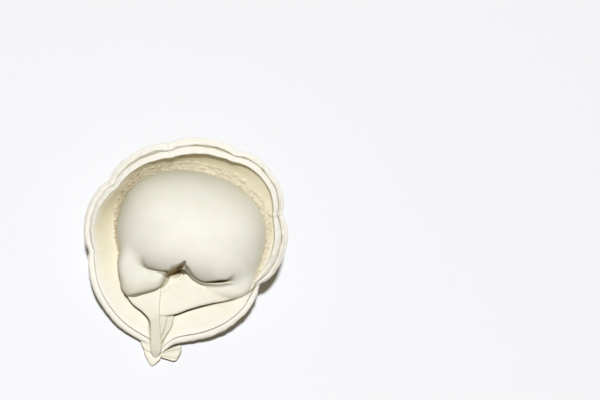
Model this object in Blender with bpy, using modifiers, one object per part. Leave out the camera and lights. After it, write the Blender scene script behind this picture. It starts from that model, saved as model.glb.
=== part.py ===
"""A raw pelmen: a filled dough half-moon, curled round so that its two corners meet and are pinched.

Every form is laid out in the plane of the brim, in millimetres: x to the right, y away from the
pinched tail, h up out of the dish, with the eye of the curl at the origin. Angles are in degrees,
clockwise from +y. The whole is then tipped back, so that it lies on its belly and its tail.
"""

import math

import bpy
import numpy as np
from mathutils import Matrix

MM = 0.001
NODE = "pelmen"

# How it lies
TILT = 17.0
EYE_HEIGHT = 6.2
FOOTPRINT_CENTRE = (-0.2, 2.5)

# Brim: two sheets of dough pressed together, their cut edges side by side
BRIM_CENTRE = (0.0, 3.5)
LOBES = (             # where it starts, radius there, bulge
    (-180.0, 17.0, 0.5),
    (-105.5, 15.8, 1.0),
    (-61.5, 16.6, 0.65),
    (-21.5, 17.2, 1.1),
    (19.5, 18.1, 1.7),
    (58.5, 17.3, 1.25),
    (104.0, 13.9, 0.3),
    (180.0, 15.4, 0.0),
)
CUSP = (1.6, 3.2)     # how far its two ends run out along the tail, left and right
CUSP_WIDTH = 5.0      # degrees
FLARE = {             # angle: slope of the band, height of its edge
    -150: (16, -0.7),
    -105: (30, 0.4),
    -60: (42, 1.5),
    0: (60, 2.4),
    60: (65, 2.7),
    105: (62, 1.6),
    150: (18, -0.8),
}
BAND_LENGTH = 3.4     # straight stretch below the edge
BAND_ROOT = (0.5, 0.4)     # where it starts inside the belly: share of the radius, drop
SHEET = 1.2
LIP = 1.35
LIP_LENGTH = 1.1
SEAM_DEPTH = 0.5
LIP_SECTION = (       # past the edge of the band, across from the seam
    (-LIP_LENGTH, SHEET),
    (-0.5 * LIP_LENGTH, 0.5 * (SHEET + LIP)),
    (-0.25, LIP),
    (-0.02, LIP - 0.22),
    (0.0, 0.28),
    (-SEAM_DEPTH, 0.0),
    (0.12, -0.28),
    (0.1, 0.22 - LIP),
    (-0.15, -LIP),
    (-0.5 * LIP_LENGTH, -0.5 * (SHEET + LIP)),
    (-LIP_LENGTH, -SHEET),
)
BRIM_STATIONS = 112
BRIM_ROWS = (6, 5)    # across the upper and the lower sheet
TAIL_STATIONS = 24.0  # degrees by which the stations draw together at the tail

# Belly: a cushion with a wide front, drawn in where the curl closes
BELLY_CENTRE = (1.0, 7.3)
BELLY_HALF = {"left": 13.0, "right": 12.6, "back": 9.4, "front": 9.9}
BELLY_ROUNDNESS = {"back": 1.9, "front": 3.0}     # 2 is an ellipse, more is squarer
BELLY_TOP = 7.5
BELLY_UNDER = -8.5
DIMPLE = {"angle": -177.0, "half_width": 10.0, "depth": 4.9, "fade": 5}
BELLY_MESH = (96, 48)

# The two ends, folded over each other, and the pinched tail: rows of x, y, half width, top, underside
STRAPS = {
    "left_leg": (
        (-6.4, 3.8, 3.2, 4.2, -5.8),
        (-8.0, -0.8, 2.8, 4.3, -5.0),
        (-6.9, -6.6, 1.0, 1.6, -2.6),
    ),
    "pad": (
        (-8.2, -0.8, 2.4, 3.9, -5.0),
        (-5.3, -3.0, 2.5, 4.1, -4.4),
        (-1.7, -2.5, 1.1, 3.3, -3.4),
    ),
    "right_leg": (
        (8.0, 4.8, 4.4, 5.0, -6.2),
        (8.9, -0.2, 3.5, 3.7, -5.0),
        (5.0, -2.8, 2.6, 2.7, -3.8),
        (0.2, -4.6, 3.4, 2.3, -3.2),
        (-3.8, -6.4, 2.4, 1.9, -2.6),
        (-7.2, -6.9, 0.9, 1.2, -1.6),
    ),
    "apex": (
        (2.0, -3.6, 1.8, 2.3, -3.2),
        (1.0, -0.6, 0.9, 1.8, -3.0),
    ),
    "tail": (
        (-3.2, -6.0, 1.8, 1.8, -2.4),
        (-1.8, -10.5, 1.2, 1.0, -2.3),
        (-0.8, -15.0, 0.7, -0.4, -2.0),
    ),
    "tail_back": (
        (0.0, -6.6, 1.3, 0.7, -2.4),
        (-0.1, -10.2, 1.0, 0.3, -2.2),
        (-0.3, -13.4, 0.6, -0.6, -2.0),
    ),
    "tip_front": (
        (-1.9, -11.6, 1.0, -0.7, -2.4),
        (-1.9, -14.4, 1.7, -0.6, -2.4),
        (-1.0, -17.2, 0.2, -0.9, -1.8),
    ),
    "tip_back": (
        (0.7, -11.6, 1.0, -1.0, -2.6),
        (1.8, -13.7, 1.7, -0.8, -2.5),
        (2.6, -15.5, 0.8, -1.1, -2.3),
    ),
    "web": (
        (-3.0, -1.6, 2.6, -0.8, -3.0),
        (3.0, -1.6, 2.6, -0.8, -3.0),
    ),
}
DROP = {"right_leg": 0.5}     # how much lower a strap's right hand edge lies
SQUARENESS = {"right_leg": 0.5, "pad": 0.75, "left_leg": 0.75}     # of its section: 1 is round
PLAIN_SQUARENESS = 0.65
BLUNTNESS = (3, 0.45)         # powers that round off a strap's ends
STRAP_MESH = (36, 32)
JOINS = (                     # where one form runs into the next without a crease: x, y, radius
    (-8.8, 1.4, 4.4),
    (-7.6, -1.6, 3.0),
    (11.2, 0.6, 3.8),
    (-3.6, -7.0, 2.2),
)
JOIN_PASSES = 120
JOIN_FADE = 1.5
SOFT_PASSES = 3

SKIN = 0.35                   # mesh size of the skin over the filled part
SKIN_TRIANGLES = 7600
TABLE = 100.0


def between(a, b, slope_a, slope_b, t):
    """Smooth value from a to b."""
    return (
        a * (2 * t**3 - 3 * t**2 + 1)
        + b * (3 * t**2 - 2 * t**3)
        + slope_a * (t**3 - 2 * t**2 + t)
        + slope_b * (t**3 - t**2)
    )


def round_trip(table, degrees):
    """Smooth closed curve through a table of angle: values."""
    keys = np.array(sorted(table), float)
    rows = np.array([table[k] for k in sorted(table)], float)
    keys = np.concatenate([keys[-2:] - 360, keys, keys[:3] + 360])
    rows = np.concatenate([rows[-2:], rows, rows[:3]])
    slopes = np.gradient(rows, keys, axis=0)
    turned = (np.asarray(degrees) - keys[1]) % 360 + keys[1]
    i = np.searchsorted(keys, turned, side="right") - 1
    span = (keys[i + 1] - keys[i])[:, None]
    t = (turned - keys[i])[:, None] / span
    return between(rows[i], rows[i + 1], slopes[i] * span, slopes[i + 1] * span, t)


def along(path, t):
    """Smooth curve through evenly spaced rows of values, t from 0 to 1."""
    rows = np.array(path, float)
    slopes = np.gradient(rows, axis=0)
    place = np.clip(t, 0, 1) * (len(rows) - 1)
    i = np.clip(place.astype(int), 0, len(rows) - 2)
    return between(rows[i], rows[i + 1], slopes[i], slopes[i + 1], (place - i)[:, None])


def coordinates(obj):
    flat = np.empty(len(obj.data.vertices) * 3, np.float32)
    obj.data.vertices.foreach_get("co", flat)
    return flat.reshape(-1, 3).astype(float)


def set_coordinates(obj, places):
    obj.data.vertices.foreach_set("co", (places * MM).astype(np.float32).ravel())
    obj.data.update()


def unit_ball(name, segments, rings):
    bpy.ops.mesh.primitive_uv_sphere_add(segments=segments, ring_count=rings, radius=1)
    obj = bpy.context.object
    obj.name = name
    return obj


def rim_radius(degrees):
    """Outline of the brim: one lobe after another, drawn out to the tail."""
    starts, radii, bulges = np.array(LOBES).T
    i = np.clip(np.searchsorted(starts, degrees, side="right") - 1, 0, len(LOBES) - 2)
    u = (degrees - starts[i]) / (starts[i + 1] - starts[i])
    plain = radii[i] * (1 - u) + radii[i + 1] * u
    lobe = bulges[i] * (1 - np.abs(2 * u - 1) ** 3)
    cusp = np.where(degrees < 0, *CUSP) * np.exp((np.abs(degrees) - 180) / CUSP_WIDTH)
    return plain + lobe + cusp


def make_brim():
    """The band round the belly: a ring, its section leaning with the flare."""
    inner, outer = BRIM_ROWS
    bpy.ops.mesh.primitive_torus_add(
        major_segments=BRIM_STATIONS,
        minor_segments=inner + len(LIP_SECTION) + outer,
        major_radius=1,
        minor_radius=0.2,
    )
    obj = bpy.context.object
    even = np.arange(BRIM_STATIONS) * 360.0 / BRIM_STATIONS - 180.0
    degrees = even + TAIL_STATIONS * np.sin(np.radians(even))
    flare, edge_height = round_trip(FLARE, degrees).T
    flare = np.radians(flare)
    way = np.stack([np.cos(flare), np.sin(flare)], 1)
    across = np.stack([-way[:, 1], way[:, 0]], 1)
    reach = np.max([u * way[:, 0] - w * way[:, 1] for u, w in LIP_SECTION], axis=0)
    edge = np.stack([rim_radius(degrees) - reach, edge_height], 1)
    start = edge - LIP_LENGTH * way
    knee = edge - BAND_LENGTH * way
    root = np.stack([BAND_ROOT[0] * edge[:, 0], knee[:, 1] - BAND_ROOT[1]], 1)

    def sheet(t, side):
        middle = (1 - t) ** 2 * root + 2 * t * (1 - t) * knee + t**2 * start
        ahead = (1 - t) * (knee - root) + t * (start - knee)
        ahead /= np.linalg.norm(ahead, axis=1)[:, None]
        return middle + side * SHEET * np.stack([-ahead[:, 1], ahead[:, 0]], 1)

    rows = [sheet(t, 1) for t in np.linspace(0, 1, inner + 1)[:-1]]
    rows += [edge + u * way + w * across for u, w in LIP_SECTION]
    rows += [sheet(t, -1) for t in np.linspace(1, 0, outer + 1)[1:]]
    section = np.stack(rows, 1)
    turn = np.radians(degrees)[:, None]
    places = [
        BRIM_CENTRE[0] + section[:, :, 0] * np.sin(turn),
        BRIM_CENTRE[1] + section[:, :, 0] * np.cos(turn),
        section[:, :, 1],
    ]
    set_coordinates(obj, np.stack(places, 2).reshape(-1, 3))
    return obj


def make_belly():
    obj = unit_ball("belly", *BELLY_MESH)
    x, y, z = coordinates(obj).T
    reach = np.hypot(x, y)
    turn = np.arctan2(x, y)
    side = np.where(x < 0, BELLY_HALF["left"], BELLY_HALF["right"])
    end = np.where(y < 0, BELLY_HALF["front"], BELLY_HALF["back"])
    power = np.where(y < 0, BELLY_ROUNDNESS["front"], BELLY_ROUNDNESS["back"])
    outline = np.abs(np.sin(turn) / side) ** power + np.abs(np.cos(turn) / end) ** power
    away = (np.degrees(turn) - DIMPLE["angle"] + 180) % 360 - 180
    dimple = DIMPLE["depth"] * np.exp(-((away / DIMPLE["half_width"]) ** 2))
    dimple *= reach ** DIMPLE["fade"]
    radius = (outline ** (-1 / power) - dimple) * reach
    places = [
        BELLY_CENTRE[0] + radius * np.sin(turn),
        BELLY_CENTRE[1] + radius * np.cos(turn),
        (BELLY_TOP + BELLY_UNDER) / 2 + (BELLY_TOP - BELLY_UNDER) / 2 * z,
    ]
    set_coordinates(obj, np.stack(places, 1))
    return obj


def make_strap(name, path):
    """A soft strap of dough along a path."""
    obj = unit_ball(name, *STRAP_MESH)
    obj.data.transform(Matrix.Rotation(math.pi / 2, 4, "Y"))
    ball = coordinates(obj)
    x = np.clip(ball[:, 0], -1, 1)
    cap = np.sqrt(np.maximum(1 - x**2, 1e-9))
    full = (1 - np.abs(x) ** BLUNTNESS[0]) ** BLUNTNESS[1]
    power = SQUARENESS.get(name, PLAIN_SQUARENESS)
    y, z = (np.sign(v) * np.abs(v / cap) ** power * full for v in ball[:, 1:].T)
    t = (x + 1) / 2
    plan_x, plan_y, half_width, top, under = along(path, t).T
    ahead = along(path, t + 0.01)[:, :2] - along(path, t - 0.01)[:, :2]
    ahead /= np.linalg.norm(ahead, axis=1)[:, None]
    places = [
        plan_x + ahead[:, 1] * half_width * y,
        plan_y - ahead[:, 0] * half_width * y,
        (top + under) / 2 + (top - under) / 2 * z + DROP.get(name, 0) * y,
    ]
    set_coordinates(obj, np.stack(places, 1))
    return obj


def fuse(pieces, name):
    """One skin over overlapping forms, evened out where they run into each other."""
    bpy.ops.object.select_all(action="DESELECT")
    for obj in pieces:
        obj.select_set(True)
    bpy.context.view_layer.objects.active = pieces[0]
    bpy.ops.object.join()
    obj = bpy.context.object
    obj.name = name
    skin = obj.modifiers.new("skin", "REMESH")
    skin.mode = "VOXEL"
    skin.voxel_size = SKIN * MM
    bpy.ops.object.modifier_apply(modifier="skin")
    places = coordinates(obj) / MM
    weights = np.zeros(len(places))
    for x, y, radius in JOINS:
        away = np.hypot(places[:, 0] - x, places[:, 1] - y) / radius
        weights = np.maximum(weights, np.clip(JOIN_FADE * (1 - away), 0, 1))
    group = obj.vertex_groups.new(name="joins")
    for i in np.flatnonzero(weights):
        group.add([int(i)], float(weights[i]), "REPLACE")
    even = obj.modifiers.new("even out", "SMOOTH")
    even.vertex_group = "joins"
    even.iterations = JOIN_PASSES
    bpy.ops.object.modifier_apply(modifier="even out")
    soft = obj.modifiers.new("soften", "SMOOTH")
    soft.iterations = SOFT_PASSES
    bpy.ops.object.modifier_apply(modifier="soften")
    return obj


def thin_out(obj, triangles):
    count = sum(len(face.vertices) - 2 for face in obj.data.polygons)
    thin = obj.modifiers.new("thin out", "DECIMATE")
    thin.ratio = triangles / count
    bpy.ops.object.modifier_apply(modifier="thin out")


def lay_down(obj):
    """From the brim's plane to the table, the middle of the footprint at the origin."""
    obj.data.transform(Matrix.Rotation(math.radians(TILT), 4, "X"))
    x, y = FOOTPRINT_CENTRE
    obj.data.transform(Matrix.Translation((-x * MM, -y * MM, EYE_HEIGHT * MM)))


def combine(obj, other, operation):
    boolean = obj.modifiers.new("combine", "BOOLEAN")
    boolean.operation = operation
    boolean.solver = "EXACT"
    boolean.object = other
    bpy.context.view_layer.objects.active = obj
    bpy.ops.object.modifier_apply(modifier="combine")
    bpy.data.objects.remove(other, do_unlink=True)


def make_table():
    """What presses the underside flat where it rests."""
    bpy.ops.mesh.primitive_cube_add(size=TABLE * MM, location=(0, 0, -TABLE / 2 * MM))
    return bpy.context.object


def collect(obj):
    collection = bpy.data.collections.new(NODE)
    bpy.context.scene.collection.children.link(collection)
    for other in list(obj.users_collection):
        other.objects.unlink(obj)
    collection.objects.link(obj)


def colour(obj):
    dough = bpy.data.materials.new("dough")
    dough.use_nodes = True
    shader = dough.node_tree.nodes["Principled BSDF"]
    shader.inputs["Base Color"].default_value = (0.87, 0.82, 0.68, 1)
    shader.inputs["Roughness"].default_value = 0.75
    obj.data.materials.clear()
    obj.data.materials.append(dough)


def main():
    for obj in list(bpy.data.objects):
        bpy.data.objects.remove(obj, do_unlink=True)
    forms = [make_belly()] + [make_strap(name, path) for name, path in STRAPS.items()]
    pelmen = fuse(forms, NODE)
    pelmen.data.name = NODE
    thin_out(pelmen, SKIN_TRIANGLES)
    brim = make_brim()
    lay_down(pelmen)
    lay_down(brim)
    combine(pelmen, brim, "UNION")
    combine(pelmen, make_table(), "DIFFERENCE")
    colour(pelmen)
    collect(pelmen)
    return pelmen


if __name__ == "__main__":
    main()
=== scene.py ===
import math

import bpy
import numpy as np
from mathutils import Matrix, Vector
from mathutils.bvhtree import BVHTree


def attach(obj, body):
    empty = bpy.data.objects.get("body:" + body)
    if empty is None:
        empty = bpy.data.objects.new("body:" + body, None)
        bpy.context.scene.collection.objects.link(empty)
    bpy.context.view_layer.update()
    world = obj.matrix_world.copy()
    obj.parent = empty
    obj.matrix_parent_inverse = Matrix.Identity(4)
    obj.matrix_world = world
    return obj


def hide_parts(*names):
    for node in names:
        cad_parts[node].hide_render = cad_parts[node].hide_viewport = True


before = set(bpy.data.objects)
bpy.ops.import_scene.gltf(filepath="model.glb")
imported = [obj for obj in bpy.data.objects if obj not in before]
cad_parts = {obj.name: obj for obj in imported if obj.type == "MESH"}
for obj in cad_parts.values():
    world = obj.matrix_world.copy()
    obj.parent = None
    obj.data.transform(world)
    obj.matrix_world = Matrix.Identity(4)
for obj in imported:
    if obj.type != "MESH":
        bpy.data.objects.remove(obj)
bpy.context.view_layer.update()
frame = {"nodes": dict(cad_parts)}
print("frame loaded:", ", ".join(frame["nodes"]))

mm = 0.001

# The dumpling is shaped in the plane of its rim, in mm: x to the right, y away from the
# pinched tail, h up out of the dish, the eye of the curl at zero. Angles are in degrees,
# clockwise from +y. It is then tipped back, so that it lies on its belly and its tail.
lying = {"tilt": 17.0, "eyeHeight": 6.2, "footprint": (-0.2, 2.5)}
toTable = Matrix.Translation(
    (-lying["footprint"][0], -lying["footprint"][1], lying["eyeHeight"])
) @ Matrix.Rotation(math.radians(lying["tilt"]), 4, "X")
turnToTable = np.array(toTable.to_3x3())
moveToTable = np.array(toTable.translation)
outOfDish = toTable.to_3x3() @ Vector((0, 0, 1))


def tablePoint(x, y, h=0.0):
    return toTable @ Vector((x, y, h)) * mm


def readPoints(piece):
    flat = np.empty(len(piece.data.vertices) * 3, np.float32)
    piece.data.vertices.foreach_get("co", flat)
    return flat.reshape(-1, 3).astype(float)


def writePoints(piece, points):
    piece.data.vertices.foreach_set("co", np.asarray(points, np.float32).ravel())
    piece.data.update()


def readNormals(piece):
    flat = np.empty(len(piece.data.vertices) * 3, np.float32)
    piece.data.vertex_normals.foreach_get("vector", flat)
    return flat.reshape(-1, 3).astype(float)


def layDown(piece):
    # from the rim's plane in mm to the table in metres
    writePoints(piece, (readPoints(piece) @ turnToTable.T + moveToTable) * mm)


def backToRim(points):
    # from the table in metres to the rim's plane in mm
    return (points / mm - moveToTable) @ turnToTable


def pressFlat(piece):
    # nothing goes below the table
    points = readPoints(piece)
    points[:, 2] = np.maximum(points[:, 2], 0.0)
    writePoints(piece, points)


def saveMask(piece, name, values):
    mask = piece.data.attributes.new(name, "FLOAT", "POINT")
    mask.data.foreach_set("value", np.asarray(values, np.float32))


def applyModifier(piece, kind, **settings):
    bpy.context.view_layer.objects.active = piece
    modifier = piece.modifiers.new("step", kind)
    for name, value in settings.items():
        setattr(modifier, name, value)
    bpy.ops.object.modifier_apply(modifier="step")


def addBall(name, segments, rings):
    bpy.ops.object.select_all(action="DESELECT")
    bpy.ops.mesh.primitive_uv_sphere_add(segments=segments, ring_count=rings, radius=1)
    ball = bpy.context.object
    ball.name = name
    return ball


def joinPieces(pieces, name):
    bpy.ops.object.select_all(action="DESELECT")
    for piece in pieces:
        piece.select_set(True)
    bpy.context.view_layer.objects.active = pieces[0]
    bpy.ops.object.join()
    joined = bpy.context.object
    joined.name = name
    joined.data.name = name
    return joined


def turnOutwards(weld=None):
    # every face points outwards, once points closer together than this are merged
    bpy.ops.object.mode_set(mode="EDIT")
    bpy.ops.mesh.select_all(action="SELECT")
    if weld is not None:
        bpy.ops.mesh.remove_doubles(threshold=weld)
    bpy.ops.mesh.normals_make_consistent(inside=False)
    bpy.ops.object.mode_set(mode="OBJECT")


def smoothByWeight(piece, weights, passes):
    # softens the dough, most where the weight is 1
    group = piece.vertex_groups.new(name="soft")
    for i in np.flatnonzero(weights):
        group.add([int(i)], float(weights[i]), "REPLACE")
    applyModifier(piece, "SMOOTH", vertex_group="soft", iterations=passes)
    piece.vertex_groups.clear()


def smoothStep(low, high, values):
    t = np.clip((np.asarray(values, float) - low) / (high - low), 0, 1)
    return t * t * (3 - 2 * t)


def hermite(a, b, slopeA, slopeB, t):
    return (
        a * (2 * t**3 - 3 * t**2 + 1)
        + b * (3 * t**2 - 2 * t**3)
        + slopeA * (t**3 - 2 * t**2 + t)
        + slopeB * (t**3 - t**2)
    )


def alongRows(rows, t):
    # smooth curve through evenly spaced rows, t from 0 to 1
    rows = np.array(rows, float)
    slopes = np.gradient(rows, axis=0)
    place = np.clip(t, 0, 1) * (len(rows) - 1)
    i = np.clip(place.astype(int), 0, len(rows) - 2)
    return hermite(rows[i], rows[i + 1], slopes[i], slopes[i + 1], (place - i)[:, None])


def alongLine(values, t):
    # the same for one number in each row
    return alongRows(np.array(values)[:, None], t)[:, 0]


def roundTrip(table, degrees):
    # smooth closed curve through a table of angle: values
    keys = np.array(sorted(table), float)
    rows = np.array([np.atleast_1d(table[k]) for k in sorted(table)], float)
    keys = np.concatenate([keys[-2:] - 360, keys, keys[:3] + 360])
    rows = np.concatenate([rows[-2:], rows, rows[:3]])
    slopes = np.gradient(rows, keys, axis=0)
    turned = (np.asarray(degrees) - keys[1]) % 360 + keys[1]
    i = np.searchsorted(keys, turned, side="right") - 1
    span = (keys[i + 1] - keys[i])[:, None]
    t = (turned - keys[i])[:, None] / span
    return hermite(rows[i], rows[i + 1], slopes[i] * span, slopes[i + 1] * span, t)


def waves(values, wavelength, seed, count=5):
    # a smooth irregular line, mostly between -1 and 1
    rng = np.random.default_rng(seed)
    total = np.zeros(np.shape(values))
    for _ in range(count):
        pitch = wavelength * rng.uniform(0.6, 1.8)
        total += np.sin(2 * np.pi * (values / pitch + rng.uniform(0, 1)))
    return total / count**0.5


# The filled dough: the belly, the two ends folded over each other, the pinched tail

belly = {
    "mesh": (160, 80),
    "centre": (1.0, 7.3),
    "half": {"left": 13.0, "right": 12.9, "back": 9.15, "front": 9.9},
    "roundness": {"back": 2.15, "front": 3.0},    # 2 is an ellipse, more is squarer
    "top": 8.0,
    "widest": -1.6,                               # height at which it is widest
    "under": -8.5,
    "dimple": {"angle": -177.0, "halfWidth": 10.0, "depth": 4.9, "fade": 5},     # where it curls shut
    "crown": -2.2,                                # how far its top leans towards the eye
}


def makeBelly():
    piece = addBall("belly", *belly["mesh"])
    x, y, z = readPoints(piece).T
    reach = np.hypot(x, y)
    turn = np.arctan2(x, y)
    side = np.where(x < 0, belly["half"]["left"], belly["half"]["right"])
    end = np.where(y < 0, belly["half"]["front"], belly["half"]["back"])
    power = np.where(y < 0, belly["roundness"]["front"], belly["roundness"]["back"])
    outline = np.abs(np.sin(turn) / side) ** power + np.abs(np.cos(turn) / end) ** power
    dimple = belly["dimple"]
    away = (np.degrees(turn) - dimple["angle"] + 180) % 360 - 180
    dip = dimple["depth"] * np.exp(-((away / dimple["halfWidth"]) ** 2))
    radius = (outline ** (-1 / power) - dip * reach ** dimple["fade"]) * reach
    height = np.where(z > 0, belly["top"] - belly["widest"], belly["widest"] - belly["under"])
    x = belly["centre"][0] + radius * np.sin(turn)
    y = belly["centre"][1] + radius * np.cos(turn)
    y += belly["crown"] * np.maximum(z, 0) ** 2
    writePoints(piece, np.stack([x, y, belly["widest"] + height * z], 1))
    return piece


folds = {
    # rows of x, y, half width, top, underside; how square the section is, where 1 is round;
    # how much lower the right hand edge lies
    "leftLeg": {
        "rows": (
            (-6.4, 3.8, 3.2, 4.3, -5.8),
            (-7.7, -0.8, 2.7, 4.0, -5.0),
            (-7.3, -4.2, 1.8, 3.5, -3.6),
            (-6.6, -7.0, 0.9, 2.0, -2.6),
        ),
        "square": 0.7,
        "drop": 0.0,
    },
    "rightLeg": {
        "rows": (
            (8.2, 4.8, 4.6, 5.0, -6.2),
            (9.4, 0.2, 3.9, 3.3, -5.0),
            (5.0, -2.3, 1.7, 1.9, -3.8),
            (0.2, -3.6, 1.8, 1.4, -3.2),
            (-3.8, -5.8, 1.6, 1.2, -2.6),
            (-7.0, -6.3, 0.6, 1.0, -1.6),
        ),
        "square": 0.5,
        "drop": 0.5,
    },
    "web": {
        "rows": (
            (-3.4, -1.0, 2.2, 1.0, -4.0),
            (2.4, -1.0, 2.2, 1.0, -4.0),
        ),
        "square": 0.65,
        "drop": 0.0,
    },
}
foldPlan = {
    "mesh": (48, 40),
    "ends": (3, 0.45),     # powers that round off a fold's ends
    "ahead": 0.01,         # how far on it looks for its direction, as a share of its length
}
doughSkin = {
    "mesh": 0.2,
    "quickMesh": 0.3,
    "sheets": ("pad", "flap", "apex"),     # those that run on into the dough without a crease
    "joins": (           # where one form runs into the next without a crease: x, y, radius
        (-8.6, 1.8, 5.0),
        (-7.6, -1.6, 3.0),
        (11.0, 1.6, 3.6),
    ),
    "joinPasses": 360,
    "softPasses": 3,
}


def makeFold(name):
    fold = folds[name]
    piece = addBall(name, *foldPlan["mesh"])
    piece.data.transform(Matrix.Rotation(math.pi / 2, 4, "Y"))
    ball = readPoints(piece)
    x = np.clip(ball[:, 0], -1, 1)
    cap = np.sqrt(np.maximum(1 - x**2, 1e-9))
    blunt, root = foldPlan["ends"]
    full = (1 - np.abs(x) ** blunt) ** root
    y, z = (np.sign(v) * np.abs(v / cap) ** fold["square"] * full for v in ball[:, 1:].T)
    t = (x + 1) / 2
    planX, planY, halfWidth, top, under = alongRows(fold["rows"], t).T
    step = foldPlan["ahead"]
    ahead = (alongRows(fold["rows"], t + step) - alongRows(fold["rows"], t - step))[:, :2]
    ahead /= np.linalg.norm(ahead, axis=1)[:, None]
    points = [
        planX + ahead[:, 1] * halfWidth * y,
        planY - ahead[:, 0] * halfWidth * y,
        (top + under) / 2 + (top - under) / 2 * z + fold["drop"] * y,
    ]
    writePoints(piece, np.stack(points, 1))
    return piece


creases = {
    # path of x, y; then at each of its points how deep, how wide and how dark its painted shade is, and
    # for a place pressed in by hand how low it goes
    "shelf": {
        "path": ((1.0, 0.2), (1.65, -0.75), (2.5, -1.5), (3.5, -2.1), (4.6, -2.4)),
        "depth": (1.6, 1.4, 1.2, 0.8, 0.5),
        "width": (0.3, 0.5, 0.55, 0.5, 0.4),
        "dark": (0.0, 0.0, 0.0, 0.0, 0.0),
        "downTo": (2.2, 1.9, 1.8, 1.8, 1.8),
    },
    "eye": {
        "path": (
            (-2.2, -1.15), (-1.55, -1.3), (-0.9, -1.1), (-0.25, -0.5), (0.28, 0.3), (0.58, 1.0),
        ),
        "depth": (0.5, 1.6, 2.6, 2.8, 2.4, 1.2),
        "width": (0.2, 0.46, 0.7, 0.62, 0.4, 0.18),
        "dark": (0.7, 0.95, 1.0, 0.95, 0.9, 0.6),
        "downTo": (1.5, 1.25, 1.2, 1.4, 2.1, 3.0),
    },
    "left": {
        "path": ((-1.9, -1.15), (-3.0, -1.3), (-4.3, -1.35), (-5.5, -1.15), (-7.1, -0.1)),
        "depth": (0.4, 0.35, 0.35, 0.4, 0.1),
        "width": (0.18, 0.18, 0.2, 0.32, 1.2),
        "dark": (0.7, 0.6, 0.6, 0.55, 0.0),
    },
    "right": {
        "path": (
            (0.7, 0.7), (1.5, -0.2), (2.5, -0.95), (4.4, -1.5), (6.8, -0.9), (8.2, -0.4), (9.5, 0.5),
        ),
        "depth": (0.2, 0.2, 0.2, 0.3, 1.1, 0.7, 0.1),
        "width": (0.13, 0.13, 0.13, 0.16, 0.25, 0.27, 0.9),
        "dark": (0.4, 0.5, 0.6, 0.8, 1.4, 0.8, 0.0),
    },
    "pad": {
        "path": (
            (-7.6, -6.9), (-6.8, -6.35), (-4.3, -5.25), (-2.3, -4.0), (-1.65, -2.9), (-1.7, -1.8),
        ),
        "depth": (0.1, 0.3, 0.3, 0.3, 0.3, 0.3),
        "width": (0.2, 0.2, 0.2, 0.2, 0.2, 0.25),
        "dark": (0.2, 0.5, 0.5, 0.5, 0.35, 0.3),
    },
}
pressing = {
    "finer": 0.9,              # how far from a crease the mesh is made finer
    "finerAbove": -1.5,
    "cuts": 2,
    "margin": 3.0,             # how far from a path's ends a crease still reaches
    "above": -2.5,             # creases are only pressed in higher than this, from above
    "soft": (1.3, 0.8),        # round a pressed in place: how far it is softened, how far wholly
    "softPasses": 14,
}
shadowLines = {
    # as the creases, but only painted shadow: on the dish, along the edges of dough that lies over it
    "gap": {
        "path": (
            (-1.0, -8.8), (0.8, -7.95), (3.6, -6.3), (6.7, -4.75), (9.8, -3.3), (12.1, -1.5), (13.3, 0.3),
        ),
        "width": (0.24, 0.26, 0.26, 0.24, 0.24, 0.24, 0.2),
        "dark": (0.5, 0.8, 0.85, 0.8, 0.8, 0.7, 0.5),
    },
    "tongue": {
        "path": (
            (-7.9, -6.6), (-6.2, -7.75), (-4.3, -8.75), (-3.0, -9.85),
            (-2.6, -11.3), (-2.2, -12.9), (-1.9, -14.3),
        ),
        "width": (0.2, 0.22, 0.24, 0.24, 0.22, 0.2, 0.2),
        "dark": (0.5, 0.7, 0.8, 0.7, 0.5, 0.4, 0.4),
    },
}


def distanceTo(path, points, count=160):
    # how far each point is from a smooth line seen from above, and how far along it lies
    t = np.linspace(0, 1, count)
    line = alongRows(path, t)
    away = np.hypot(
        points[:, 0][:, None] - line[None, :, 0], points[:, 1][:, None] - line[None, :, 1]
    )
    nearest = away.argmin(axis=1)
    return away[np.arange(len(points)), nearest], t[nearest]


def refineNear(piece, paths):
    # a finer mesh where creases are pressed in
    points = readPoints(piece)
    away = np.min([distanceTo(path, points)[0] for path in paths], axis=0)
    near = (away < pressing["finer"]) & (points[:, 2] > pressing["finerAbove"])
    faces = piece.data.polygons
    faces.foreach_set("select", [all(near[i] for i in face.vertices) for face in faces])
    bpy.context.view_layer.objects.active = piece
    bpy.ops.object.mode_set(mode="EDIT")
    bpy.ops.mesh.select_mode(type="FACE")
    bpy.ops.mesh.subdivide(number_cuts=pressing["cuts"])
    bpy.ops.object.mode_set(mode="OBJECT")


def darken(piece, name, marks, points):
    # how much painted shade each point gets from the nearest of these marks
    mask = np.zeros(len(points))
    for mark in marks:
        away, t = distanceTo(mark["path"], points)
        dark = alongLine(mark["dark"], t)
        width = np.maximum(alongLine(mark["width"], t), 0.1)
        mask = np.maximum(mask, dark * np.exp(-((away / width) ** 4)))
    saveMask(piece, name, mask)


def pressCrease(crease, points, normals):
    low = np.min(crease["path"], axis=0) - pressing["margin"]
    high = np.max(crease["path"], axis=0) + pressing["margin"]
    near = (points[:, :2] > low).all(1) & (points[:, :2] < high).all(1)
    near &= (normals[:, 2] > -0.1) & (points[:, 2] > pressing["above"])
    chosen = np.flatnonzero(near)
    away, t = distanceTo(crease["path"], points[chosen])
    depth = alongLine(crease["depth"], t)
    width = alongLine(crease["width"], t)
    if "downTo" in crease:
        lower = points[chosen, 2] - depth * np.exp(-((away / width) ** 4))
        level = np.minimum(points[chosen, 2], alongLine(crease["downTo"], t))
        points[chosen, 2] = np.maximum(lower, level)
    else:
        points[chosen, 2] -= depth * np.exp(-((away / width) ** 2))


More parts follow.
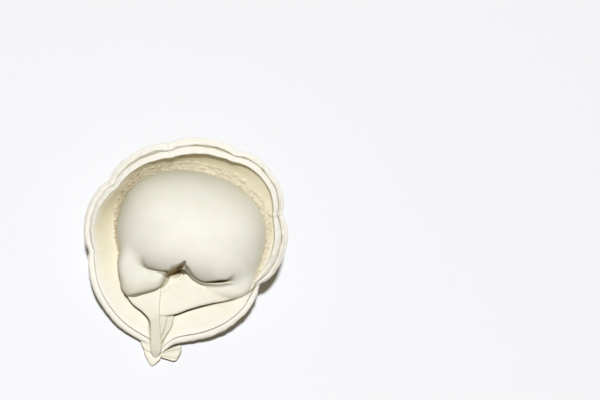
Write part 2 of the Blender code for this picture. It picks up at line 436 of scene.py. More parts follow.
def carve(piece):
    refineNear(piece, [crease["path"] for crease in creases.values()])
    points, normals = readPoints(piece), readNormals(piece)
    plan = points.copy()
    for crease in creases.values():
        pressCrease(crease, points, normals)
    writePoints(piece, points)
    pressedIn = [crease["path"] for crease in creases.values() if "downTo" in crease]
    away = np.min([distanceTo(path, plan)[0] for path in pressedIn], axis=0)
    smoothByWeight(piece, smoothStep(*pressing["soft"], away), pressing["softPasses"])
    # painted shade in the deep pit at the eye
    darken(piece, "eye", [creases["eye"]], plan)
    # painted shade along the creases
    darken(piece, "crease", [crease for name, crease in creases.items() if name != "eye"], plan)


sheets = {
    # rows of one edge and the other (x, y), height of the top at each, thickness
    "flap": {
        "rows": (
            (13.4, 3.4, 9.2, 5.2, 0.4, 3.6, 2.6),
            (13.5, 0.9, 8.8, 1.8, 1.4, 3.3, 2.2),
            (12.0, -1.5, 7.6, 0.0, 1.45, 2.75, 1.9),
            (9.0, -3.65, 6.0, -0.9, 1.4, 2.35, 1.7),
            (6.0, -4.95, 4.0, -1.3, 1.35, 2.1, 1.6),
            (3.3, -6.35, 1.8, -1.2, 1.3, 1.9, 1.5),
            (0.8, -7.9, -0.6, -1.6, 1.1, 1.6, 1.5),
            (-1.8, -8.8, -2.8, -3.4, 0.7, 1.25, 1.4),
            (-4.0, -8.4, -4.6, -5.2, 0.5, 0.9, 1.3),
            (-5.6, -7.6, -5.8, -6.6, 0.3, 0.6, 1.2),
        ),
        "edge": 0.22,
    },
    "pad": {
        "rows": (
            (-9.7, -2.6, -9.0, 1.6, 2.2, 3.4, 6.0),
            (-8.9, -5.2, -7.6, 0.0, 2.6, 3.9, 6.0),
            (-7.0, -6.6, -5.6, -1.0, 2.8, 3.9, 6.0),
            (-4.6, -5.55, -4.2, -1.35, 3.0, 3.7, 6.0),
            (-2.8, -4.5, -2.7, -1.5, 2.9, 3.3, 6.0),
            (-1.6, -3.0, -1.5, -1.7, 2.4, 2.7, 6.0),
        ),
        "edge": 0.36,
        "pleats": (1, 0.8),
    },
    "apex": {
        "rows": (
            (-1.5, -3.4, 4.2, -2.4, 1.5, 1.9, 2.4),
            (-0.8, -2.1, 3.1, -0.95, 1.55, 2.3, 2.6),
            (-0.1, -1.3, 2.2, -0.35, 1.65, 2.45, 2.8),
            (0.4, -0.35, 1.6, 0.25, 1.75, 2.5, 2.8),
            (0.7, 0.6, 1.15, 0.9, 1.8, 2.4, 2.8),
            (0.85, 1.3, 1.0, 1.4, 1.8, 2.1, 2.6),
        ),
    },
    "tongue": {
        "rows": (
            (-8.4, -4.0, -2.4, -0.8, 0.8, 1.0, 1.6),
            (-7.9, -6.1, -2.2, -3.2, 1.15, 1.6, 1.6),
            (-6.3, -7.65, -2.05, -5.4, 1.1, 1.55, 1.6),
            (-4.35, -8.6, -1.75, -7.4, 0.95, 1.4, 1.5),
            (-2.95, -9.7, -1.3, -9.2, 0.9, 1.2, 1.4),
            (-2.45, -11.3, -0.75, -11.2, 0.8, 1.05, 1.4),
            (-2.1, -12.9, -0.2, -12.9, 0.7, 0.9, 1.5),
            (-1.85, -14.4, 0.1, -14.5, 0.5, 0.65, 1.6),
            (-1.7, -15.7, 0.2, -15.9, -0.1, 0.0, 1.4),
        ),
    },
    "secondLayer": {
        "rows": (
            (-2.2, -6.4, 0.85, -6.4, 0.1, 0.0, 1.4),
            (-1.8, -8.4, 0.9, -8.6, 0.3, 0.1, 1.4),
            (-1.4, -10.0, 0.85, -10.1, 0.45, 0.2, 1.4),
            (-1.1, -11.4, 0.35, -11.5, 0.5, 0.25, 1.4),
            (-0.8, -12.8, -0.15, -12.9, 0.4, 0.3, 1.4),
            (-0.6, -14.2, -0.3, -14.2, 0.2, 0.1, 1.3),
        ),
    },
    "thirdLayer": {
        "rows": (
            (-2.0, -6.8, -0.25, -6.8, 0.4, 0.4, 1.2),
            (-1.7, -8.8, -0.15, -9.0, 0.7, 0.5, 1.2),
            (-1.3, -10.4, -0.2, -10.6, 0.85, 0.6, 1.2),
            (-0.9, -11.8, -0.45, -12.1, 0.8, 0.6, 1.2),
            (-0.7, -13.2, -0.5, -13.4, 0.6, 0.5, 1.2),
        ),
    },
    "leafUnder": {
        "rows": (
            (-3.4, -12.9, -0.2, -13.0, -1.8, -1.2, 1.3),
            (-3.1, -14.1, 0.05, -14.4, -1.2, -0.8, 1.3),
            (-2.5, -15.4, 0.2, -15.5, -0.75, -0.4, 1.2),
            (-1.5, -16.7, -0.3, -16.4, -0.8, -0.55, 0.8),
            (-0.95, -17.2, -0.65, -17.1, -0.95, -0.9, 0.3),
        ),
        "pleats": (1.5, 0.08),
    },
    "leafOver": {
        "rows": (
            (-4.1, -12.2, -0.9, -12.6, -1.9, -1.2, 0.9),
            (-3.6, -13.5, -0.6, -14.0, -1.05, -0.4, 1.0),
            (-2.7, -14.9, -0.2, -15.2, -0.5, 0.0, 0.9),
        ),
    },
    "fanTip": {
        "rows": (
            (-0.4, -15.0, -0.4, -15.3, -0.5, -0.6, 0.8),
            (1.3, -13.6, 1.1, -15.4, -0.4, -0.7, 1.0),
            (2.6, -12.8, 2.4, -15.5, -0.35, -0.7, 1.2),
            (3.5, -12.6, 3.25, -15.0, -0.5, -0.8, 1.2),
        ),
        "edge": 0.36,
        "pleats": (3.5, 0.16),
    },
}
sheetPlan = {
    # what holds for a sheet that doesn't say otherwise
    "mesh": (64, 64),
    "ends": (14, 0.4),     # powers that round off its two ends
    "edge": 0.3,           # how rounded its long edges are: less is squarer
    "pleats": (1, 0.0),    # how many run along it, how high
}


def makeSheet(name):
    sheet = {**sheetPlan, **sheets[name]}
    piece = addBall(name, *sheet["mesh"])
    piece.data.transform(Matrix.Rotation(math.pi / 2, 4, "Y"))
    ball = readPoints(piece)
    x = np.clip(ball[:, 0], -1, 1)
    cap = np.sqrt(np.maximum(1 - x**2, 1e-9))
    blunt, root = sheet["ends"]
    full = (1 - np.abs(x) ** blunt) ** root
    y, z = (np.sign(v) * np.abs(v / cap) ** sheet["edge"] for v in ball[:, 1:].T)
    rows = alongRows(sheet["rows"], np.arcsin(x) / math.pi + 0.5)
    share = 0.5 - 0.5 * y * full
    left, right = rows[:, 0:2], rows[:, 2:4]
    plan = left + (right - left) * share[:, None]
    count, lift = sheet["pleats"]
    top = rows[:, 4] + (rows[:, 5] - rows[:, 4]) * share
    top += lift * np.abs(np.sin(math.pi * count * share)) - lift * 0.5
    height = top - rows[:, 6] * (0.5 - 0.5 * z * full)
    writePoints(piece, np.column_stack([plan, height]))
    turnOutwards()
    return piece


def makeDough():
    forms = [makeBelly()] + [makeSheet(name) for name in doughSkin["sheets"]]
    forms += [makeFold(name) for name in folds]
    piece = joinPieces(forms, "foldedDough")
    mesh = doughSkin["mesh"]
    applyModifier(piece, "REMESH", mode="VOXEL", voxel_size=mesh)
    points = readPoints(piece)
    weights = np.zeros(len(points))
    for x, y, radius in doughSkin["joins"]:
        away = np.hypot(points[:, 0] - x, points[:, 1] - y) / radius
        weights = np.maximum(weights, np.clip(1.5 - 1.5 * away, 0, 1))
    passes = int(doughSkin["joinPasses"] * (doughSkin["mesh"] / mesh) ** 2)
    smoothByWeight(piece, weights, passes)
    applyModifier(piece, "SMOOTH", iterations=doughSkin["softPasses"])
    carve(piece)
    # the folded ends near the tail are bare, the rest is floured
    points = readPoints(piece)
    saveMask(piece, "bare", smoothStep(0.6, 0.0, (points[:, 1] + 2.0) * 0.5 + (points[:, 2] - 2.3)))
    return piece


def makeTail():
    names = [name for name in sheets if name not in doughSkin["sheets"]]
    piece = joinPieces([makeSheet(name) for name in names], "pinchedTail")
    saveMask(piece, "bare", np.ones(len(piece.data.vertices)))
    return piece


# The pressed rim: two sheets of dough side by side, their cut edges parting a little

rim = {
    "centre": (0.0, 3.5),
    "lobes": (                  # where it starts, radius there, bulge
        (-180.0, 17.0, 0.5),
        (-105.5, 15.8, 1.0),
        (-61.5, 16.6, 0.65),
        (-21.5, 17.2, 0.55),
        (16.5, 18.05, 1.35),
        (58.5, 17.0, 1.1),
        (104.0, 14.0, 0.75),
        (180.0, 15.4, 0.0),
    ),
    "cusp": (1.6, 3.2),         # how far its two ends run out along the tail
    "cuspWidth": 5.0,
    "flare": {                  # angle: slope of the band, height of its edge
        -150: (4, -0.45),
        -128: (8, 0.1),
        -105: (26, 0.7),
        -60: (48, 1.5),
        -25: (66, 2.35),
        5: (76, 2.85),
        40: (66, 3.0),
        75: (62, 2.6),
        105: (32, 1.5),
        128: (6, 0.65),
        150: (1, -0.3),
    },
    "press": {                  # angle: how thick the pressed sheets stay
        -160: 0.45,
        -125: 0.55,
        -95: 0.8,
        -60: 1.0,
        5: 1.0,
        25: 0.85,
        50: 0.78,
        75: 0.9,
        105: 0.65,
        128: 0.45,
        160: 0.42,
    },
    "step": {                   # angle: how far the lower sheet's edge stands out past the upper's
        -160: 0.9,
        -125: 0.8,
        -95: 0.35,
        -60: 0.1,
        -30: 0.0,
        90: 0.1,
        115: 0.6,
        150: 1.0,
    },
    "wall": {                   # angle: slope and length of the dish's wall below the lips
        -165: (3, 2.6),
        -105: (32, 3.4),
        -60: (58, 3.6),
        -20: (64, 3.7),
        10: (58, 3.5),
        45: (34, 3.2),
        75: (28, 2.6),
        105: (16, 2.6),
        128: (2, 2.6),
        150: (-3, 2.6),
    },
    "root": (0.5, 0.5),         # where the dish starts: share of the radius, drop
    "sheet": 1.15,
    "lip": 1.35,
    "lipLength": 1.1,
    "evenInside": 0.6,          # how far the scallops die out on the inner lip
    "even": 11,                 # over how many degrees each way they are evened out
    "taper": (0.6, 7.0),        # how much thinner it gets at its two ends, over how many degrees
    "gape": {                   # angle: half width and depth of the gap between the lips
        -150: (0.04, 0.12),
        -105: (0.05, 0.2),
        -60: (0.08, 0.4),
        -38: (0.2, 0.7),
        -18: (0.1, 0.4),
        8: (0.17, 0.6),
        30: (0.09, 0.4),
        60: (0.14, 0.5),
        100: (0.08, 0.3),
        150: (0.04, 0.12),
    },
    "shade": {                  # angle: how much painted shade lies on the wall below the lips, how dark the painted shade in the gap between them
        -150: (0.0, 0.05),
        -105: (0.2, 0.05),
        -80: (0.42, 0.2),
        -55: (0.5, 0.6),
        -35: (0.55, 1.0),
        -20: (0.55, 0.5),
        5: (0.5, 1.0),
        25: (0.45, 0.7),
        50: (0.35, 0.7),
        75: (0.15, 0.5),
        110: (0.0, 0.15),
        150: (0.0, 0.05),
    },
    "pinch": {
        "width": 1.1,
        "lift": 0.28,
        "dent": 0.15,
        "share": (0.25, 0.5, 1.0, 0.8, 0.5, 0.3),     # how strong it is after each lobe
    },
    "unevenLips": (0.035, 0.05, 0.03),     # short and long waves in their reach, waves in height
    "seamRow": 13,              # which row of the lips lies in the gap
    "stations": 640,
    "rows": (56, 12),           # across the upper and the lower sheet, besides the lips
    "tailStations": 24.0,       # degrees by which the stations draw together at the tail
    "weld": 0.0005,
}
rimJoins = [start for start, _, _ in rim["lobes"][1:-1]]


def rimRadius(degrees):
    starts, radii, bulges = np.array(rim["lobes"]).T
    i = np.clip(np.searchsorted(starts, degrees, side="right") - 1, 0, len(starts) - 2)
    u = (degrees - starts[i]) / (starts[i + 1] - starts[i])
    plain = radii[i] * (1 - u) + radii[i + 1] * u
    lobe = bulges[i] * (1 - np.abs(2 * u - 1) ** 3)
    cusp = np.where(degrees < 0, *rim["cusp"])
    return plain + lobe + cusp * np.exp((np.abs(degrees) - 180) / rim["cuspWidth"])


def lipSection(gap, depth):
    # one cut edge after the other: past the edge of the band, across from the seam
    lip, sheet, length = rim["lip"], rim["sheet"], rim["lipLength"]
    ledge = 0.07
    rows = (
        (-length, sheet),
        (-0.7 * length, sheet + 0.04),
        (-0.42 * length, sheet + 0.03),
        (-0.2, lip - 0.03),
        (-0.06, lip - 0.03),
        (-0.01, lip - 0.09),
        (0.01, lip - 0.2),
        (0.03, 0.62 * lip),
        (0.035, 0.4 * lip),
        (0.02, gap + 0.18),
        (-0.02, gap + 0.08),
        (-0.12 * depth - 0.04, gap + 0.02),
        (-0.55 * depth, 0.5 * gap),
        (-depth, 0.0),
        (-0.5 * depth, -0.5 * gap),
        (0.04 - 0.06 * depth, -gap - 0.02),
        (0.11, -gap - 0.07),
        (0.14, -gap - 0.17),
        (0.15, -0.4 * lip),
        (0.14, -0.52 * lip),
        (0.14 - ledge, -0.58 * lip),
        (0.14, -0.64 * lip),
        (0.13, -lip + 0.2),
        (0.10, -lip + 0.09),
        (0.03, -lip + 0.02),
        (-0.08, -lip),
        (-0.4 * length, -sheet - 0.09),
        (-0.7 * length, -sheet - 0.04),
        (-length, -sheet),
    )
    flat = np.zeros_like(gap)
    return [(u + flat, w + flat) for u, w in rows]


def makeStations():
    # where the rim's sections stand, in degrees
    stations = rim["stations"] // 1
    even = np.arange(stations) * 360.0 / stations - 180.0
    return even + rim["tailStations"] * np.sin(np.radians(even))


def nearJoin(degrees):
    # 1 where one lobe meets the next, 0 elsewhere
    return np.exp(-np.min([np.abs(degrees - join) for join in rimJoins], axis=0) ** 2 / 2.5)


def scallopAt(degrees):
    # how far the outline stands out past a smooth one
    spread = np.linspace(-rim["even"], rim["even"], 2 * rim["even"] + 1)
    smooth = np.mean([rimRadius((degrees + d + 180) % 360 - 180) for d in spread], axis=0)
    return (rimRadius(degrees) - smooth) * smoothStep(165, 140, np.abs(degrees))


def pinchAt(degrees):
    # a thin raised fold where one lobe meets the next, with a dent on both sides
    pinch = np.zeros(len(degrees))
    for join, share in zip(rimJoins, rim["pinch"]["share"]):
        away = (degrees - join) / rim["pinch"]["width"]
        pinch += share * rim["pinch"]["lift"] * np.exp(-(away**2) * 4)
        pinch -= share * rim["pinch"]["dent"] * (
            np.exp(-((away - 1.1) ** 2) * 3) + np.exp(-((away + 1.1) ** 2) * 3)
        )
    return pinch


def makeLips(degrees, section, edge, way, over, thick):
    # both cut edges, row by row across, a little uneven on their way round
    length = np.radians(degrees) * 16.5     # mm along the rim
    short, long, height = rim["unevenLips"]
    scallop = scallopAt(degrees)
    rows = []
    for k, (u, w) in enumerate(section):
        loose = smoothStep(-rim["lipLength"], -0.4 * rim["lipLength"], u)
        uneven = short * waves(length, 1.7, 11 + k // 3) + long * waves(length, 6, 5)
        shift = height * waves(length, 2.6, 40 + k // 4)
        row = edge + (u + uneven * loose)[:, None] * way
        row += ((w + shift * loose) * thick)[:, None] * over
        row[:, 0] -= smoothStep(-0.5, 1.15, w) * rim["evenInside"] * scallop
        rows.append(row)
    return rows


def makeBand(degrees, start, edge, thick):
    # the line of a sheet from deep inside the belly out to the lips; side is 1 for the upper one
    slope, length = roundTrip(rim["wall"], degrees).T
    slope = np.radians(slope)
    knee = start - length[:, None] * np.stack([np.cos(slope), np.sin(slope)], 1)
    root = np.stack([rim["root"][0] * edge[:, 0], knee[:, 1] - rim["root"][1]], 1)
    a, b = knee * 0.8 + root * 0.2, knee * 0.8 + start * 0.2
    scallop = scallopAt(degrees)

    def sheetLine(t, side):
        r = 1 - t
        middle = r**3 * root + 3 * r * r * t * a + 3 * r * t * t * b + t**3 * start
        ahead = r * r * (a - root) + 2 * r * t * (b - a) + t * t * (start - b)
        ahead /= np.linalg.norm(ahead, axis=1)[:, None]
        offset = (side * rim["sheet"] * thick)[:, None]
        line = middle + offset * np.stack([-ahead[:, 1], ahead[:, 0]], 1)
        share = smoothStep(0.0, 0.3, t) * (1 - (1 - rim["evenInside"]) * smoothStep(0.8, 1, t))
        line[:, 0] -= (side > 0) * share * scallop
        return line

    return sheetLine


def saveRimMasks(piece, degrees, lastLip):
    # where the dough is cut, and where painted shade lies in the gap between the lips and on the dish's
    # wall below them
    upper, lower = rim["rows"]
    k = np.arange(lastLip + lower)
    cutEdge = smoothStep(-0.2, 1.0, np.clip((k - upper) / 3, 0, 1))
    cutEdge *= 1 - smoothStep(0, 1, np.clip((k - lastLip + 3) / 3, 0, 1))
    seam = np.exp(-(((k - upper - rim["seamRow"]) / 1.3) ** 2))
    wall = smoothStep(0.35, 0.75, k / upper) * smoothStep(upper + 2.5, upper + 0.5, k)
    paintedShade, dark = roundTrip(rim["shade"], degrees).T
    for name, along, across in (
        ("cutEdge", np.ones(len(degrees)), cutEdge),
        ("seam", dark * (1 - 0.9 * nearJoin(degrees)), seam),
        ("wall", paintedShade, wall),
    ):
        values = np.clip(along, 0, 1)[:, None] * across[None, :]
        saveMask(piece, name, np.pad(values, ((0, 1), (0, 1)), mode="wrap").ravel())


def makeRim():
    degrees = makeStations()
    upper, lower = rim["rows"]
    gap, depth = roundTrip(rim["gape"], degrees).T
    gap = gap * (1 + 0.3 * waves(degrees, 14, 3)) * (1 - 0.8 * nearJoin(degrees))
    step = roundTrip(rim["step"], degrees)[:, 0]
    section = [(u - step * smoothStep(-0.35, -0.05, w), w) for u, w in lipSection(gap, depth)]
    thin, within = rim["taper"]
    thick = 1 - thin * np.exp((np.abs(degrees) - 180) / within)
    thick *= roundTrip(rim["press"], degrees)[:, 0]
    lastLip = upper + len(section)
    bpy.ops.object.select_all(action="DESELECT")
    bpy.ops.mesh.primitive_grid_add(
        x_subdivisions=lastLip + lower, y_subdivisions=len(degrees), size=2
    )
    piece = bpy.context.object
    piece.name = "pressedRim"
    piece.data.name = "pressedRim"

    # each row is worked out as distance from the rim's centre and height, all the way round
    flare, edgeHeight = roundTrip(rim["flare"], degrees).T
    flare = np.radians(flare)
    way = np.stack([np.cos(flare), np.sin(flare)], 1)
    over = np.stack([-way[:, 1], way[:, 0]], 1)
    reach = np.max([u * way[:, 0] - w * thick * way[:, 1] for u, w in section], axis=0)
    edge = np.stack([rimRadius(degrees) - reach, edgeHeight], 1)
    start = edge - (rim["lipLength"] + step)[:, None] * way
    sheetLine = makeBand(degrees, start, edge, thick)
    rows = [sheetLine(t, 1) for t in np.linspace(0, 1, upper + 1)[:-1]]
    rows += makeLips(degrees, section, edge, way, over, thick)
    rows += [sheetLine(t, -1) for t in np.linspace(1, 0, lower + 1)[1:]]
    grid = np.stack(rows, 1)

    k = np.arange(grid.shape[1])
    fade = np.clip((k - upper + 3) / 3, 0, 1) * np.clip((lastLip + 4 - k) / 6, 0, 1)
    pinch = pinchAt(degrees)[:, None] * fade[None, :]
    grid += pinch[:, :, None] * (way + over * 0.2)[:, None, :]
    turn = np.radians(degrees)[:, None]
    points = np.stack([
        rim["centre"][0] + grid[:, :, 0] * np.sin(turn),
        rim["centre"][1] + grid[:, :, 0] * np.cos(turn),
        grid[:, :, 1],
    ], 2)
    # the sheet is closed into a ring both ways, so its last row and column repeat the first
    wrapped = np.pad(points, ((0, 1), (0, 1), (0, 0)), mode="wrap")
    writePoints(piece, wrapped.reshape(-1, 3))
    saveRimMasks(piece, degrees, lastLip)
    turnOutwards(rim["weld"])
    return piece


# Crumbs of dry dough in the corner of the dish, and the crust that they lie in

crumbs = {
    "count": 8000,
    "size": (0.05, 0.17),       # across, in mm
    "shapes": 4,
    "rough": 0.45,
    "between": (-118, 112),     # the angles where they lie
    "crowding": 1.9,            # how wide the strip must be for them to lie as close as they can
    "pale": 1.1,                # more gives more dark ones
    "coarse": {"before": -45, "bigger": 1.45, "pale": 2.2},     # those on the left
    "crust": 0.06,              # how much the layer that they lie in rises and falls
    "reach": {                  # angle: how far they lie inside and outside the belly's foot
        -150: (0.0, 0.0),
        -115: (0.1, 0.1),
        -85: (0.2, 0.5),
        -40: (0.3, 1.4),
        0: (0.4, 1.7),
        45: (0.4, 1.4),
        85: (0.3, 0.8),
        100: (0.2, 0.4),
        112: (0.0, 0.0),
        150: (0.0, 0.0),
    },
    "seed": 4,
}
foot = {"search": (8.0, 17.0, 0.1), "otherwise": 14.0, "every": 3.0}     # where the belly's foot runs


def dishPlace(distance, degrees):
    turn = math.radians(degrees)
    return (
        rim["centre"][0] + distance * math.sin(turn),
        rim["centre"][1] + distance * math.cos(turn),
    )


def surfaceAt(tree, x, y, above=25.0):
    # where a straight line down on to the dish meets the dough
    return tree.ray_cast(tablePoint(x, y, above), -outOfDish)


def treeOf(*pieces):
    points, faces = [], []
    for piece in pieces:
        first = len(points)
        points += readPoints(piece).tolist()
        faces += [[first + i for i in face.vertices] for face in piece.data.polygons]
    return BVHTree.FromPolygons(points, faces)


def footAt(doughTree, rimTree, degrees):
    # the distance from the rim's centre at which the belly gives way to the rim
    for distance in np.arange(*foot["search"]):
        x, y = dishPlace(distance, degrees)
        onDough, _, _, deepDough = surfaceAt(doughTree, x, y)
        onRim, _, _, deepRim = surfaceAt(rimTree, x, y)
        if onRim is not None and (onDough is None or deepRim < deepDough):
            return distance
    return foot["otherwise"]


def lumpsAt(places, count=12, seed=6):
    # smooth lumps of many sizes, mostly between -1 and 1
    rng = np.random.default_rng(seed)
    lumps = np.zeros(len(places))
    for _ in range(count):
        way = rng.normal(size=3)
        way *= 2 * np.pi / rng.uniform(0.35, 0.9) / np.linalg.norm(way)
        lumps += np.sin(places @ way + rng.uniform(0, 6.28)) / 4
    return lumps


def makeCrust(rimPiece, footAngles, footPlaces):
    # the dish is rough where dry dough stuck to it
    points, normals = readPoints(rimPiece), readNormals(rimPiece)
    places = backToRim(points)
    x, y = places[:, 0] - rim["centre"][0], places[:, 1] - rim["centre"][1]
    degrees = np.degrees(np.arctan2(x, y))
    inside, outside = roundTrip(crumbs["reach"], degrees).T
    away = np.hypot(x, y) - np.interp(degrees, footAngles, footPlaces)
    ragged = outside * (0.8 + 0.12 * waves(degrees, 5, 21))
    share = smoothStep(-inside - 1.5, -inside, away) * smoothStep(ragged + 0.3, ragged - 0.1, away)
    share *= (normals @ np.array(outOfDish) > 0.1) * smoothStep(0.0, 0.4, outside)
    rise = share * lumpsAt(places) * crumbs["crust"] * mm
    writePoints(rimPiece, points + normals * rise[:, None])
    saveMask(rimPiece, "crust", share)


# Where painted shade goes: where the dough is closed in, where it is steep, and at listed spots

shelter = {"reach": 3.0, "rays": 18, "quickRays": 8, "clear": 0.06, "seed": 8}
shadeAwayFromTail = {"least": 0.45, "more": 0.6, "from": 1.0, "to": 11.0}     # more painted shade away from the tail
shadeSpots = {
    # where, how wide, how much more painted shade; below zero it paints light
    "foldedDough": ((-6.2, -3.2, 4.4, 0.13), (8.4, 0.4, 3.8, -0.16)),
    "pinchedTail": ((-0.4, -11.4, 4.4, 0.3),),
    "pressedRim": ((-8.5, -7.5, 6.0, 0.14), (-12.5, 4.0, 6.5, 0.3)),
}


def findShelter(pieces):
    # how much of the space above each point is closed in by dough, from 0 to 1; it sets where painted
    # shade goes
    tree = treeOf(*pieces)
    count = shelter["rays"]
    rng = np.random.default_rng(shelter["seed"])
    turns = rng.uniform(0, 2 * np.pi, count)
    lifts = np.sqrt((np.arange(count) + 0.5) / count)
    for piece in pieces:
        points, normals = readPoints(piece), readNormals(piece)
        side = np.cross(normals, np.where(np.abs(normals[:, :1]) < 0.9, [[1, 0, 0]], [[0, 1, 0]]))
        side /= np.linalg.norm(side, axis=1)[:, None]
        other = np.cross(normals, side)
        blocked = np.zeros(len(points))
        starts = (points + normals * shelter["clear"] * mm).tolist()
        for turn, lift in zip(turns, lifts):
            spread = math.sqrt(1 - lift * lift)
            rays = (
                normals * lift
                + side * (spread * math.cos(turn))
                + other * (spread * math.sin(turn))
            )
            for i, (start, ray) in enumerate(zip(starts, rays.tolist())):
                if tree.ray_cast(start, ray, shelter["reach"] * mm)[0] is not None:
                    blocked[i] += 1
        saveMask(piece, "shelter", blocked / count)


def findSteep(piece):
    # painted shade: the more dough turns away from straight out of the dish, the duller it is painted
    place = backToRim(readPoints(piece))
    steep = np.clip(1 - readNormals(piece) @ np.array(outOfDish), 0, 1)
    tailToTop = smoothStep(shadeAwayFromTail["from"], shadeAwayFromTail["to"], place[:, 1])
    steep *= shadeAwayFromTail["least"] + shadeAwayFromTail["more"] * tailToTop
    for x, y, radius, paintedShade in shadeSpots[piece.name]:
        away = np.hypot(place[:, 0] - x, place[:, 1] - y) / radius
        steep += paintedShade * smoothStep(1.0, 0.5, away)
    saveMask(piece, "steep", np.clip(steep, 0, 1))


def makeLump(name, seed):
    bpy.ops.object.select_all(action="DESELECT")
    bpy.ops.mesh.primitive_ico_sphere_add(subdivisions=1, radius=1.0)
    piece = bpy.context.object
    piece.name = name
    bpy.ops.object.mode_set(mode="EDIT")
    bpy.ops.mesh.select_all(action="SELECT")
    bpy.ops.transform.vertex_random(offset=crumbs["rough"], seed=seed)
    bpy.ops.object.mode_set(mode="OBJECT")
    return piece


def makeCrumbs(doughTree, rimTree, footAngles, footPlaces):
    rng = np.random.default_rng(crumbs["seed"])
    lumps = [makeLump(f"lump{i}", 3 + i) for i in range(crumbs["shapes"])]
    shapes = [readPoints(lump) for lump in lumps]
    faces = np.array([tuple(face.vertices) for face in lumps[0].data.polygons])
    for lump in lumps:
        bpy.data.objects.remove(lump, do_unlink=True)
    smallest, largest = crumbs["size"]
    coarse = crumbs["coarse"]
    points, corners, tints = [], [], []
    placed = 0
    while placed < crumbs["count"]:
        degrees = rng.uniform(*crumbs["between"])
        inside, outside = roundTrip(crumbs["reach"], [degrees])[0]
        if rng.uniform(0, crumbs["crowding"]) > inside + outside:
            continue
        edge = np.interp(degrees, footAngles, footPlaces)
        distance = edge + rng.uniform(-inside, outside) * rng.uniform(0.3, 1) ** 0.5
        hits = [surfaceAt(tree, *dishPlace(distance, degrees)) for tree in (doughTree, rimTree)]
        hits = [hit for hit in hits if hit[0] is not None]
        if not hits:
            continue
        place, normal, _, _ = min(hits, key=lambda hit: hit[3])
        size = (smallest + (largest - smallest) * rng.beta(1.5, 3)) / 2
        pale = crumbs["pale"]
        if degrees < coarse["before"]:
            size *= coarse["bigger"]
            pale = coarse["pale"]
        turn = Matrix.Rotation(rng.uniform(0, 6.28), 3, rng.normal(size=3))
        stretch = rng.uniform(0.7, 1.3, 3)
        shape = shapes[rng.integers(len(shapes))] * size * mm * stretch
        centre = np.array(place + normal * size * mm * rng.uniform(0.1, 0.6))
        points.append(shape @ np.array(turn).T + centre)
        corners.append(faces + placed * len(shape))
        tints.append(np.full(len(shape), rng.uniform(0, 1) ** pale))
        placed += 1
    mesh = bpy.data.meshes.new("dryCrumbs")
    mesh.from_pydata(np.concatenate(points).tolist(), [], np.concatenate(corners).tolist())
    piece = bpy.data.objects.new("dryCrumbs", mesh)
    bpy.context.scene.collection.objects.link(piece)
    saveMask(piece, "tint", np.concatenate(tints))
    return piece


# Finishes

class Wire:
    # an output of a shader node; sums on it add Math nodes
    def __init__(self, finish, socket):
        self.finish = finish
        self.socket = socket

    def math(self, operation, first, second):
        return self.finish.add("ShaderNodeMath", {"operation": operation}, {0: first, 1: second})[0]

    def __add__(self, other):
        return self.math("ADD", self, other)

    def __mul__(self, other):
        return self.math("MULTIPLY", self, other)

    def __sub__(self, other):
        return self.math("SUBTRACT", self, other)

    def __rsub__(self, other):
        return self.math("SUBTRACT", other, self)

    __radd__ = __add__
    __rmul__ = __mul__

    def between(self, low, high):
        values = {"Value": self, "From Min": low, "From Max": high}
        settings = {"interpolation_type": "SMOOTHSTEP"}
        return self.finish.add("ShaderNodeMapRange", settings, values)[0]


class Finish:
    def __init__(self, name):
        self.material = bpy.data.materials.new(name)
        self.material.use_nodes = True
        self.tree = self.material.node_tree
        self.shader = self.tree.nodes["Principled BSDF"]
        self.place = self.add("ShaderNodeTexCoord")[3]

    def add(self, kind, settings=None, values=None):
        node = self.tree.nodes.new(kind)
        for name, value in (settings or {}).items():
            setattr(node, name, value)
        self.fill(node, values or {})
        return [Wire(self, socket) for socket in node.outputs]

    def fill(self, node, values):
        for name, value in values.items():
            if isinstance(value, Wire):
                self.tree.links.new(value.socket, node.inputs[name])
            else:
                node.inputs[name].default_value = value

    def mask(self, name):
        return self.add("ShaderNodeAttribute", {"attribute_name": name})[2]

    def noise(self, size, detail=2.0, roughness=0.5):
        # size of a grain in mm
        values = {
            "Vector": self.place,
            "Scale": 1 / (size * mm),
            "Detail": detail,
            "Roughness": roughness,
        }
        return self.add("ShaderNodeTexNoise", None, values)[0]

    def mix(self, share, first, second):
        # a Mix node's colours are its sockets 6 and 7, and the mixed one is 2
        return self.add("ShaderNodeMix", {"data_type": "RGBA"}, {0: share, 6: first, 7: second})[2]

    def bump(self, height, depth, strength=1.0):
        values = {"Height": height, "Distance": depth * mm, "Strength": strength}
        return self.add("ShaderNodeBump", None, values)[0]


def rgb(red, green, blue):
    return (red, green, blue, 1.0)


doughFinish = {
    "flour": rgb(0.805, 0.785, 0.68),
    "flourGrey": rgb(0.735, 0.715, 0.575),
    "bare": rgb(0.815, 0.785, 0.645),
    "bareDeep": rgb(0.77, 0.71, 0.54),
    "cutEdge": rgb(0.80, 0.78, 0.69),
    # painted shade on dough that turns away from straight out of the dish
    "paintedShade": rgb(0.31, 0.295, 0.175),
    # painted shade on the wall below the lips
    "wall": rgb(0.67, 0.54, 0.23),
    # painted shade in hollows where dough closes in
    "sheltered": rgb(0.36, 0.31, 0.13),
    # painted shade along the creases
    "crease": rgb(0.12, 0.11, 0.02),
    # painted shade in the deep pit at the eye
    "eye": rgb(0.40, 0.30, 0.16),
    "crust": rgb(0.81, 0.75, 0.55),
    "speck": rgb(0.86, 0.85, 0.81),
    # painted shade in the gap between the lips
    "seam": rgb(0.22, 0.19, 0.07),
    "crumbDark": rgb(0.56, 0.44, 0.26),
    "crumbPale": rgb(0.84, 0.80, 0.66),
    "scatter": 0.08,
    "crumbScatter": 0.1,
}


